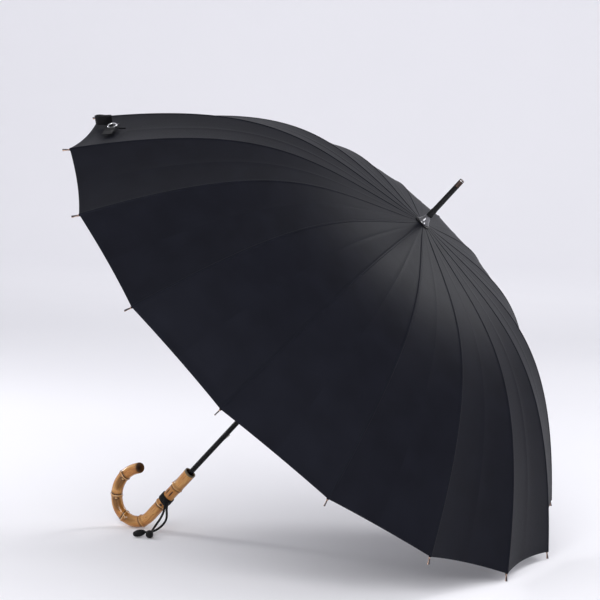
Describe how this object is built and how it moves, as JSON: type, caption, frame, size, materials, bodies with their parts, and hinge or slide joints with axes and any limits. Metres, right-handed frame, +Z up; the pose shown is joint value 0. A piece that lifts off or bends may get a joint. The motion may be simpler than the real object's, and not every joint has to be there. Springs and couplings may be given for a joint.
{
  "type": "stick umbrella",
  "caption": "Open stick umbrella with a black cloth canopy, a thin straight shaft and a bamboo crook handle with a wrist cord.",
  "frame": {"origin": "on the floor, under the middle of the open umbrella's bounding box as it lies on two rib tips and the crook", "axes": "+Z up; the shaft lies in the XZ plane and rises towards +X, so the ferrule points up and to +X and the handle is at -X; +Y completes the right-handed set, along the floor through the pair of lowest rib tips"},
  "size_m": [0.842, 1.1342, 0.7855],
  "materials": {
    "shaft_paint": "gloss black",
    "ferrule_metal": "black sleeve with a dull bronze end",
    "cap_chrome": "polished",
    "black_plastic": "satin",
    "canopy_cloth": "closely woven black pongee",
    "strap_cloth": "black ribbon",
    "cord": "round braided cord",
    "bamboo": "varnished root bamboo, scorched at the nodes",
    "rib_steel": "blackened",
    "spring_steel": "bright"
  },
  "bodies": {
    "root": {"shaft": "shaft_paint", "ferrule": "ferrule_metal", "crown_cap": "cap_chrome", "top_notch": "black_plastic", "canopy": "canopy_cloth", "handle": "bamboo", "tassel_cord": "cord", "tassel_toggle": "black_plastic"},
    "rib_inner_01": {"rib_inner_01": "rib_steel"},
    "rib_outer_01": {"rib_outer_01": "rib_steel", "tie_strap": "strap_cloth"},
    "stretcher_01": {"stretcher_01": "rib_steel"},
    "rib_inner_02": {"rib_inner_02": "rib_steel"},
    "rib_outer_02": {"rib_outer_02": "rib_steel"},
    "stretcher_02": {"stretcher_02": "rib_steel"},
    "rib_inner_03": {"rib_inner_03": "rib_steel"},
    "rib_outer_03": {"rib_outer_03": "rib_steel"},
    "stretcher_03": {"stretcher_03": "rib_steel"},
    "rib_inner_04": {"rib_inner_04": "rib_steel"},
    "rib_outer_04": {"rib_outer_04": "rib_steel"},
    "stretcher_04": {"stretcher_04": "rib_steel"},
    "rib_inner_05": {"rib_inner_05": "rib_steel"},
    "rib_outer_05": {"rib_outer_05": "rib_steel"},
    "stretcher_05": {"stretcher_05": "rib_steel"},
    "rib_inner_06": {"rib_inner_06": "rib_steel"},
    "rib_outer_06": {"rib_outer_06": "rib_steel"},
    "stretcher_06": {"stretcher_06": "rib_steel"},
    "rib_inner_07": {"rib_inner_07": "rib_steel"},
    "rib_outer_07": {"rib_outer_07": "rib_steel"},
    "stretcher_07": {"stretcher_07": "rib_steel"},
    "rib_inner_08": {"rib_inner_08": "rib_steel"},
    "rib_outer_08": {"rib_outer_08": "rib_steel"},
    "stretcher_08": {"stretcher_08": "rib_steel"},
    "rib_inner_09": {"rib_inner_09": "rib_steel"},
    "rib_outer_09": {"rib_outer_09": "rib_steel"},
    "stretcher_09": {"stretcher_09": "rib_steel"},
    "rib_inner_10": {"rib_inner_10": "rib_steel"},
    "rib_outer_10": {"rib_outer_10": "rib_steel"},
    "stretcher_10": {"stretcher_10": "rib_steel"},
    "rib_inner_11": {"rib_inner_11": "rib_steel"},
    "rib_outer_11": {"rib_outer_11": "rib_steel"},
    "stretcher_11": {"stretcher_11": "rib_steel"},
    "rib_inner_12": {"rib_inner_12": "rib_steel"},
    "rib_outer_12": {"rib_outer_12": "rib_steel"},
    "stretcher_12": {"stretcher_12": "rib_steel"},
    "rib_inner_13": {"rib_inner_13": "rib_steel"},
    "rib_outer_13": {"rib_outer_13": "rib_steel"},
    "stretcher_13": {"stretcher_13": "rib_steel"},
    "rib_inner_14": {"rib_inner_14": "rib_steel"},
    "rib_outer_14": {"rib_outer_14": "rib_steel"},
    "stretcher_14": {"stretcher_14": "rib_steel"},
    "rib_inner_15": {"rib_inner_15": "rib_steel"},
    "rib_outer_15": {"rib_outer_15": "rib_steel"},
    "stretcher_15": {"stretcher_15": "rib_steel"},
    "rib_inner_16": {"rib_inner_16": "rib_steel"},
    "rib_outer_16": {"rib_outer_16": "rib_steel"},
    "stretcher_16": {"stretcher_16": "rib_steel"},
    "runner": {"runner": "black_plastic"},
    "top_catch": {"top_catch": "spring_steel"},
    "bottom_catch": {"bottom_catch": "spring_steel"}
  },
  "joints": [
    {"name": "canopy_fold", "type": "hinge", "parent": "root", "child": "rib_inner_01", "pos_m": [0.1899, -0.00176, 0.60392], "axis": [0.1423, -0.9808, -0.1335], "range_deg": [0, 77.17], "deforming": ["canopy"]},
    {"name": "rib_flex_01", "type": "hinge", "parent": "rib_inner_01", "child": "rib_outer_01", "pos_m": [-0.04089, -0.05526, 0.75104], "axis": [-0.1423, 0.9808, 0.1335], "range_deg": [0, 25.4]},
    {"name": "stretcher_pivot_01", "type": "hinge", "parent": "rib_inner_01", "child": "stretcher_01", "pos_m": [-0.03377, -0.05505, 0.74435], "axis": [-0.1423, 0.9808, 0.1335], "range_deg": [0, 154.35]},
    {"name": "rib_fold_02", "type": "hinge", "parent": "root", "child": "rib_inner_02", "pos_m": [0.19088, -0.005, 0.603], "axis": [0.4052, -0.8315, -0.3801], "range_deg": [0, 77.17]},
    {"name": "rib_flex_02", "type": "hinge", "parent": "rib_inner_02", "child": "rib_outer_02", "pos_m": [-0.01004, -0.15737, 0.72211], "axis": [-0.4052, 0.8315, 0.3801], "range_deg": [0, 25.4]},
    {"name": "stretcher_pivot_02", "type": "hinge", "parent": "rib_inner_02", "child": "stretcher_02", "pos_m": [-0.00353, -0.15343, 0.71598], "axis": [-0.4052, 0.8315, 0.3801], "range_deg": [0, 154.35]},
    {"name": "rib_fold_03", "type": "hinge", "parent": "root", "child": "rib_inner_03", "pos_m": [0.19269, -0.00748, 0.6013], "axis": [0.6064, -0.5556, -0.5688], "range_deg": [0, 77.17]},
    {"name": "rib_flex_03", "type": "hinge", "parent": "rib_inner_03", "child": "rib_outer_03", "pos_m": [0.04695, -0.23551, 0.66864], "axis": [-0.6064, 0.5556, 0.5688], "range_deg": [0, 25.4]},
    {"name": "stretcher_pivot_03", "type": "hinge", "parent": "rib_inner_03", "child": "stretcher_03", "pos_m": [0.05188, -0.22846, 0.66401], "axis": [-0.6064, 0.5556, 0.5688], "range_deg": [0, 154.35]},
    {"name": "rib_fold_04", "type": "hinge", "parent": "root", "child": "rib_inner_04", "pos_m": [0.19506, -0.00883, 0.59908], "axis": [0.7153, -0.1951, -0.671], "range_deg": [0, 77.17]},
    {"name": "rib_flex_04", "type": "hinge", "parent": "rib_inner_04", "child": "rib_outer_04", "pos_m": [0.12142, -0.27781, 0.59879], "axis": [-0.7153, 0.1951, 0.671], "range_deg": [0, 25.4]},
    {"name": "stretcher_pivot_04", "type": "hinge", "parent": "rib_inner_04", "child": "stretcher_04", "pos_m": [0.124, -0.2687, 0.59635], "axis": [-0.7153, 0.1951, 0.671], "range_deg": [0, 154.35]},
    {"name": "rib_fold_05", "type": "hinge", "parent": "root", "child": "rib_inner_05", "pos_m": [0.19762, -0.00883, 0.59668], "axis": [0.7153, 0.1951, -0.671], "range_deg": [0, 77.17]},
    {"name": "rib_flex_05", "type": "hinge", "parent": "rib_inner_05", "child": "rib_outer_05", "pos_m": [0.20203, -0.27781, 0.52318], "axis": [-0.7153, -0.1951, 0.671], "range_deg": [0, 25.4]},
    {"name": "stretcher_pivot_05", "type": "hinge", "parent": "rib_inner_05", "child": "stretcher_05", "pos_m": [0.20187, -0.26804, 0.52331], "axis": [-0.7153, -0.1951, 0.671], "range_deg": [0, 154.35]},
    {"name": "rib_fold_06", "type": "hinge", "parent": "root", "child": "rib_inner_06", "pos_m": [0.19999, -0.00748, 0.59446], "axis": [0.6064, 0.5556, -0.5688], "range_deg": [0, 77.17]},
    {"name": "rib_flex_06", "type": "hinge", "parent": "rib_inner_06", "child": "rib_outer_06", "pos_m": [0.2765, -0.23551, 0.45332], "axis": [-0.6064, -0.5556, 0.5688], "range_deg": [0, 25.4]},
    {"name": "stretcher_pivot_06", "type": "hinge", "parent": "rib_inner_06", "child": "stretcher_06", "pos_m": [0.27363, -0.22657, 0.456], "axis": [-0.6064, -0.5556, 0.5688], "range_deg": [0, 154.35]},
    {"name": "rib_fold_07", "type": "hinge", "parent": "root", "child": "rib_inner_07", "pos_m": [0.2018, -0.005, 0.59276], "axis": [0.4052, 0.8315, -0.3801], "range_deg": [0, 77.17]},
    {"name": "rib_flex_07", "type": "hinge", "parent": "rib_inner_07", "child": "rib_outer_07", "pos_m": [0.3335, -0.15737, 0.39986], "axis": [-0.4052, -0.8315, 0.3801], "range_deg": [0, 25.4]},
    {"name": "stretcher_pivot_07", "type": "hinge", "parent": "rib_inner_07", "child": "stretcher_07", "pos_m": [0.32835, -0.15061, 0.40468], "axis": [-0.4052, -0.8315, 0.3801], "range_deg": [0, 154.35]},
    {"name": "rib_fold_08", "type": "hinge", "parent": "root", "child": "rib_inner_08", "pos_m": [0.20278, -0.00176, 0.59184], "axis": [0.1423, 0.9808, -0.1335], "range_deg": [0, 77.17]},
    {"name": "rib_flex_08", "type": "hinge", "parent": "rib_inner_08", "child": "rib_outer_08", "pos_m": [0.36434, -0.05526, 0.37092], "axis": [-0.1423, -0.9808, 0.1335], "range_deg": [0, 25.4]},
    {"name": "stretcher_pivot_08", "type": "hinge", "parent": "rib_inner_08", "child": "stretcher_08", "pos_m": [0.3577, -0.05171, 0.37714], "axis": [-0.1423, -0.9808, 0.1335], "range_deg": [0, 154.35]},
    {"name": "rib_fold_09", "type": "hinge", "parent": "root", "child": "rib_inner_09", "pos_m": [0.20278, 0.00176, 0.59184], "axis": [-0.1423, 0.9808, 0.1335], "range_deg": [0, 77.17]},
    {"name": "rib_flex_09", "type": "hinge", "parent": "rib_inner_09", "child": "rib_outer_09", "pos_m": [0.36434, 0.05526, 0.37092], "axis": [0.1423, -0.9808, -0.1335], "range_deg": [0, 25.4]},
    {"name": "stretcher_pivot_09", "type": "hinge", "parent": "rib_inner_09", "child": "stretcher_09", "pos_m": [0.35722, 0.05505, 0.3776], "axis": [0.1423, -0.9808, -0.1335], "range_deg": [0, 154.35]},
    {"name": "rib_fold_10", "type": "hinge", "parent": "root", "child": "rib_inner_10", "pos_m": [0.2018, 0.005, 0.59276], "axis": [-0.4052, 0.8315, 0.3801], "range_deg": [0, 77.17]},
    {"name": "rib_flex_10", "type": "hinge", "parent": "rib_inner_10", "child": "rib_outer_10", "pos_m": [0.3335, 0.15737, 0.39986], "axis": [0.4052, -0.8315, -0.3801], "range_deg": [0, 25.4]},
    {"name": "stretcher_pivot_10", "type": "hinge", "parent": "rib_inner_10", "child": "stretcher_10", "pos_m": [0.32697, 0.15343, 0.40597], "axis": [0.4052, -0.8315, -0.3801], "range_deg": [0, 154.35]},
    {"name": "rib_fold_11", "type": "hinge", "parent": "root", "child": "rib_inner_11", "pos_m": [0.19999, 0.00748, 0.59446], "axis": [-0.6064, 0.5556, 0.5688], "range_deg": [0, 77.17]},
    {"name": "rib_flex_11", "type": "hinge", "parent": "rib_inner_11", "child": "rib_outer_11", "pos_m": [0.2765, 0.23551, 0.45332], "axis": [0.6064, -0.5556, -0.5688], "range_deg": [0, 25.4]},
    {"name": "stretcher_pivot_11", "type": "hinge", "parent": "rib_inner_11", "child": "stretcher_11", "pos_m": [0.27157, 0.22846, 0.45794], "axis": [0.6064, -0.5556, -0.5688], "range_deg": [0, 154.35]},
    {"name": "rib_fold_12", "type": "hinge", "parent": "root", "child": "rib_inner_12", "pos_m": [0.19762, 0.00883, 0.59668], "axis": [-0.7153, 0.1951, 0.671], "range_deg": [0, 77.17]},
    {"name": "rib_flex_12", "type": "hinge", "parent": "rib_inner_12", "child": "rib_outer_12", "pos_m": [0.20203, 0.27781, 0.52318], "axis": [0.7153, -0.1951, -0.671], "range_deg": [0, 25.4]},
    {"name": "stretcher_pivot_12", "type": "hinge", "parent": "rib_inner_12", "child": "stretcher_12", "pos_m": [0.19944, 0.2687, 0.52559], "axis": [0.7153, -0.1951, -0.671], "range_deg": [0, 154.35]},
    {"name": "rib_fold_13", "type": "hinge", "parent": "root", "child": "rib_inner_13", "pos_m": [0.19506, 0.00883, 0.59908], "axis": [-0.7153, -0.1951, 0.671], "range_deg": [0, 77.17]},
    {"name": "rib_flex_13", "type": "hinge", "parent": "rib_inner_13", "child": "rib_outer_13", "pos_m": [0.12142, 0.27781, 0.59879], "axis": [0.7153, 0.1951, -0.671], "range_deg": [0, 25.4]},
    {"name": "stretcher_pivot_13", "type": "hinge", "parent": "rib_inner_13", "child": "stretcher_13", "pos_m": [0.12157, 0.26804, 0.59864], "axis": [0.7153, 0.1951, -0.671], "range_deg": [0, 154.35]},
    {"name": "rib_fold_14", "type": "hinge", "parent": "root", "child": "rib_inner_14", "pos_m": [0.19269, 0.00748, 0.6013], "axis": [-0.6064, -0.5556, 0.5688], "range_deg": [0, 77.17]},
    {"name": "rib_flex_14", "type": "hinge", "parent": "rib_inner_14", "child": "rib_outer_14", "pos_m": [0.04695, 0.23551, 0.66864], "axis": [0.6064, 0.5556, -0.5688], "range_deg": [0, 25.4]},
    {"name": "stretcher_pivot_14", "type": "hinge", "parent": "rib_inner_14", "child": "stretcher_14", "pos_m": [0.04981, 0.22657, 0.66594], "axis": [0.6064, 0.5556, -0.5688], "range_deg": [0, 154.35]},
    {"name": "rib_fold_15", "type": "hinge", "parent": "root", "child": "rib_inner_15", "pos_m": [0.19088, 0.005, 0.603], "axis": [-0.4052, -0.8315, 0.3801], "range_deg": [0, 77.17]},
    {"name": "rib_flex_15", "type": "hinge", "parent": "rib_inner_15", "child": "rib_outer_15", "pos_m": [-0.01004, 0.15737, 0.72211], "axis": [0.4052, 0.8315, -0.3801], "range_deg": [0, 25.4]},
    {"name": "stretcher_pivot_15", "type": "hinge", "parent": "rib_inner_15", "child": "stretcher_15", "pos_m": [-0.0049, 0.15061, 0.71727], "axis": [0.4052, 0.8315, -0.3801], "range_deg": [0, 154.35]},
    {"name": "rib_fold_16", "type": "hinge", "parent": "root", "child": "rib_inner_16", "pos_m": [0.1899, 0.00176, 0.60392], "axis": [-0.1423, -0.9808, 0.1335], "range_deg": [0, 77.17]},
    {"name": "rib_flex_16", "type": "hinge", "parent": "rib_inner_16", "child": "rib_outer_16", "pos_m": [-0.04089, 0.05526, 0.75104], "axis": [0.1423, 0.9808, -0.1335], "range_deg": [0, 25.4]},
    {"name": "stretcher_pivot_16", "type": "hinge", "parent": "rib_inner_16", "child": "stretcher_16", "pos_m": [-0.03426, 0.05171, 0.74481], "axis": [0.1423, 0.9808, -0.1335], "range_deg": [0, 154.35]},
    {"name": "runner_pivot", "type": "hinge", "parent": "stretcher_01", "child": "runner", "pos_m": [0.12091, -0.00342, 0.52988], "axis": [0.1423, -0.9808, -0.1335], "range_deg": [0, 77.17]},
    {"name": "top_catch_press", "type": "slide", "parent": "root", "child": "top_catch", "axis": [-0.7153, -0.1951, 0.671], "range_m": [0, 0.0017], "stiffness_N_per_m": 900, "springref_m": -0.0006},
    {"name": "bottom_catch_press", "type": "slide", "parent": "root", "child": "bottom_catch", "axis": [-0.7153, -0.1951, 0.671], "range_m": [0, 0.0017], "stiffness_N_per_m": 900, "springref_m": -0.0006}
  ],
  "couplings": [
    {"joint": "rib_flex_01", "follows": "canopy_fold", "ratio": 0.329},
    {"joint": "stretcher_pivot_01", "follows": "canopy_fold", "ratio": 2},
    {"joint": "rib_fold_02", "follows": "canopy_fold", "ratio": 1},
    {"joint": "rib_flex_02", "follows": "canopy_fold", "ratio": 0.329},
    {"joint": "stretcher_pivot_02", "follows": "canopy_fold", "ratio": 2},
    {"joint": "rib_fold_03", "follows": "canopy_fold", "ratio": 1},
    {"joint": "rib_flex_03", "follows": "canopy_fold", "ratio": 0.329},
    {"joint": "stretcher_pivot_03", "follows": "canopy_fold", "ratio": 2},
    {"joint": "rib_fold_04", "follows": "canopy_fold", "ratio": 1},
    {"joint": "rib_flex_04", "follows": "canopy_fold", "ratio": 0.329},
    {"joint": "stretcher_pivot_04", "follows": "canopy_fold", "ratio": 2},
    {"joint": "rib_fold_05", "follows": "canopy_fold", "ratio": 1},
    {"joint": "rib_flex_05", "follows": "canopy_fold", "ratio": 0.329},
    {"joint": "stretcher_pivot_05", "follows": "canopy_fold", "ratio": 2},
    {"joint": "rib_fold_06", "follows": "canopy_fold", "ratio": 1},
    {"joint": "rib_flex_06", "follows": "canopy_fold", "ratio": 0.329},
    {"joint": "stretcher_pivot_06", "follows": "canopy_fold", "ratio": 2},
    {"joint": "rib_fold_07", "follows": "canopy_fold", "ratio": 1},
    {"joint": "rib_flex_07", "follows": "canopy_fold", "ratio": 0.329},
    {"joint": "stretcher_pivot_07", "follows": "canopy_fold", "ratio": 2},
    {"joint": "rib_fold_08", "follows": "canopy_fold", "ratio": 1},
    {"joint": "rib_flex_08", "follows": "canopy_fold", "ratio": 0.329},
    {"joint": "stretcher_pivot_08", "follows": "canopy_fold", "ratio": 2},
    {"joint": "rib_fold_09", "follows": "canopy_fold", "ratio": 1},
    {"joint": "rib_flex_09", "follows": "canopy_fold", "ratio": 0.329},
    {"joint": "stretcher_pivot_09", "follows": "canopy_fold", "ratio": 2},
    {"joint": "rib_fold_10", "follows": "canopy_fold", "ratio": 1},
    {"joint": "rib_flex_10", "follows": "canopy_fold", "ratio": 0.329},
    {"joint": "stretcher_pivot_10", "follows": "canopy_fold", "ratio": 2},
    {"joint": "rib_fold_11", "follows": "canopy_fold", "ratio": 1},
    {"joint": "rib_flex_11", "follows": "canopy_fold", "ratio": 0.329},
    {"joint": "stretcher_pivot_11", "follows": "canopy_fold", "ratio": 2},
    {"joint": "rib_fold_12", "follows": "canopy_fold", "ratio": 1},
    {"joint": "rib_flex_12", "follows": "canopy_fold", "ratio": 0.329},
    {"joint": "stretcher_pivot_12", "follows": "canopy_fold", "ratio": 2},
    {"joint": "rib_fold_13", "follows": "canopy_fold", "ratio": 1},
    {"joint": "rib_flex_13", "follows": "canopy_fold", "ratio": 0.329},
    {"joint": "stretcher_pivot_13", "follows": "canopy_fold", "ratio": 2},
    {"joint": "rib_fold_14", "follows": "canopy_fold", "ratio": 1},
    {"joint": "rib_flex_14", "follows": "canopy_fold", "ratio": 0.329},
    {"joint": "stretcher_pivot_14", "follows": "canopy_fold", "ratio": 2},
    {"joint": "rib_fold_15", "follows": "canopy_fold", "ratio": 1},
    {"joint": "rib_flex_15", "follows": "canopy_fold", "ratio": 0.329},
    {"joint": "stretcher_pivot_15", "follows": "canopy_fold", "ratio": 2},
    {"joint": "rib_fold_16", "follows": "canopy_fold", "ratio": 1},
    {"joint": "rib_flex_16", "follows": "canopy_fold", "ratio": 0.329},
    {"joint": "stretcher_pivot_16", "follows": "canopy_fold", "ratio": 2},
    {"joint": "runner_pivot", "follows": "canopy_fold", "ratio": 1}
  ]
}
